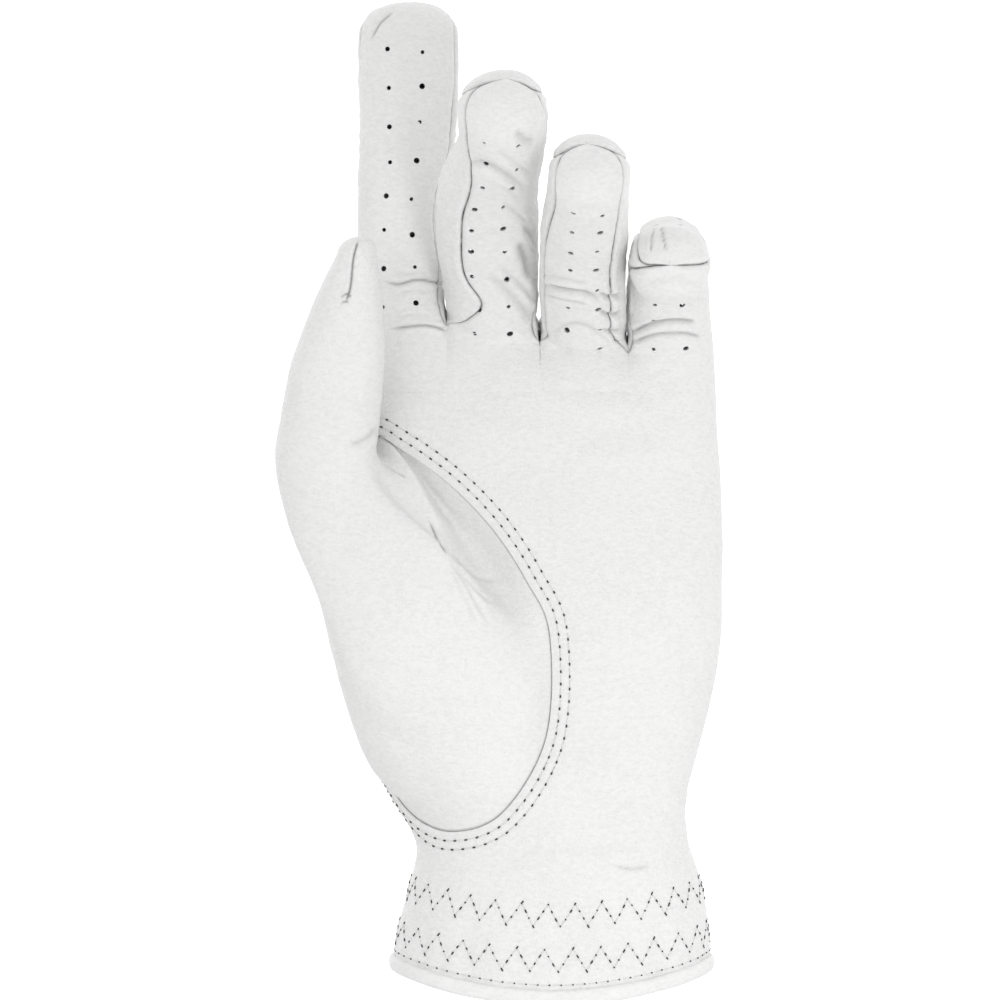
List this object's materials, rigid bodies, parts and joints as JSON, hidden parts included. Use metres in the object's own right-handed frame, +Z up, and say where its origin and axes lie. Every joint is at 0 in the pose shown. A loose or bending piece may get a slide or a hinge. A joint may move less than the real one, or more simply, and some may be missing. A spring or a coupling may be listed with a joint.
{
  "type": "golf glove",
  "caption": "Left-hand leather golf glove with curled fingers, a set-in thumb, perforated fingers and an elasticated cuff with a closure tab.",
  "frame": {"origin": "centre of the wrist opening at the lowest level of the hem", "axes": "+Z up the hand towards the fingertips, -Y the palm side, +X the little-finger side"},
  "size_m": [0.1009, 0.09, 0.2243],
  "materials": {
    "leather": "soft satin",
    "thread": "matte",
    "elastic": "matte",
    "hook_and_loop": "matte"
  },
  "bodies": {
    "hand": {"palm_panel": "leather", "back_panel": "leather", "slit_binding": "leather", "cuff_binding": "leather", "upper_elastic": "elastic", "lower_elastic": "elastic", "cuff_zigzag_stitching": "thread", "thumb_hole_stitching": "thread", "thumb_base_panel": "leather", "thumb_fold": "leather", "hook_patch": "hook_and_loop", "tab_anchor": "leather", "index_knuckle_fold": "leather", "middle_knuckle_fold": "leather", "ring_knuckle_fold": "leather", "little_knuckle_fold": "leather"},
    "thumb": {"thumb_front": "leather", "thumb_back": "leather"},
    "tab": {"closure_tab": "leather", "loop_patch": "hook_and_loop", "tab_stitching": "thread"},
    "index_lower": {"index_lower_front": "leather", "index_lower_back": "leather", "index_lower_right_fourchette": "leather", "index_mid_fold": "leather"},
    "index_upper": {"index_upper_front": "leather", "index_upper_back": "leather", "index_upper_right_fourchette": "leather"},
    "middle_lower": {"middle_lower_front": "leather", "middle_lower_back": "leather", "middle_lower_left_fourchette": "leather", "middle_lower_right_fourchette": "leather", "middle_mid_fold": "leather"},
    "middle_upper": {"middle_upper_front": "leather", "middle_upper_back": "leather", "middle_upper_left_fourchette": "leather", "middle_upper_right_fourchette": "leather"},
    "ring_lower": {"ring_lower_front": "leather", "ring_lower_back": "leather", "ring_lower_left_fourchette": "leather", "ring_lower_right_fourchette": "leather", "ring_mid_fold": "leather"},
    "ring_upper": {"ring_upper_front": "leather", "ring_upper_back": "leather", "ring_upper_left_fourchette": "leather", "ring_upper_right_fourchette": "leather"},
    "little_lower": {"little_lower_front": "leather", "little_lower_back": "leather", "little_lower_left_fourchette": "leather", "little_mid_fold": "leather"},
    "little_upper": {"little_upper_front": "leather", "little_upper_back": "leather", "little_upper_left_fourchette": "leather"}
  },
  "joints": [
    {"name": "index_knuckle", "type": "hinge", "parent": "hand", "child": "index_lower", "pos_m": [-0.0343, 0, 0.15], "axis": [1, 0, 0], "range_deg": [-20, 8], "deforming": ["index_knuckle_fold"]},
    {"name": "index_mid", "type": "hinge", "parent": "index_lower", "child": "index_upper", "pos_m": [-0.0343, -0.00199, 0.18795], "axis": [1, 0, 0], "range_deg": [0, 75], "deforming": ["index_mid_fold"]},
    {"name": "middle_knuckle", "type": "hinge", "parent": "hand", "child": "middle_lower", "pos_m": [-0.0137, 0, 0.149], "axis": [1, 0, 0], "range_deg": [-39, 30], "deforming": ["middle_knuckle_fold"]},
    {"name": "middle_mid", "type": "hinge", "parent": "middle_lower", "child": "middle_upper", "pos_m": [-0.0137, -0.02391, 0.17853], "axis": [1, 0, 0], "range_deg": [-21, 60], "deforming": ["middle_mid_fold"]},
    {"name": "ring_knuckle", "type": "hinge", "parent": "hand", "child": "ring_lower", "pos_m": [0.0068, 0, 0.148], "axis": [1, 0, 0], "range_deg": [-55, 20], "deforming": ["ring_knuckle_fold"]},
    {"name": "ring_mid", "type": "hinge", "parent": "ring_lower", "child": "ring_upper", "pos_m": [0.0068, -0.02867, 0.16808], "axis": [1, 0, 0], "range_deg": [-8, 75], "deforming": ["ring_mid_fold"]},
    {"name": "little_knuckle", "type": "hinge", "parent": "hand", "child": "little_lower", "pos_m": [0.026, 0, 0.144], "axis": [1, 0, 0], "range_deg": [-32, 30], "deforming": ["little_knuckle_fold"]},
    {"name": "little_mid", "type": "hinge", "parent": "little_lower", "child": "little_upper", "pos_m": [0.026, -0.01378, 0.16605], "axis": [1, 0, 0], "range_deg": [-66, 20], "deforming": ["little_mid_fold"]},
    {"name": "thumb_base", "type": "hinge", "parent": "hand", "child": "thumb", "pos_m": [-0.0509, -0.014, 0.1243], "axis": [0, 1, 0], "range_deg": [-35, 12], "deforming": ["thumb_fold"]},
    {"name": "tab_hinge", "type": "hinge", "parent": "hand", "child": "tab", "pos_m": [0.0142, 0.02514, 0.033], "axis": [0, 0, -1], "range_deg": [0, 120]}
  ]
}
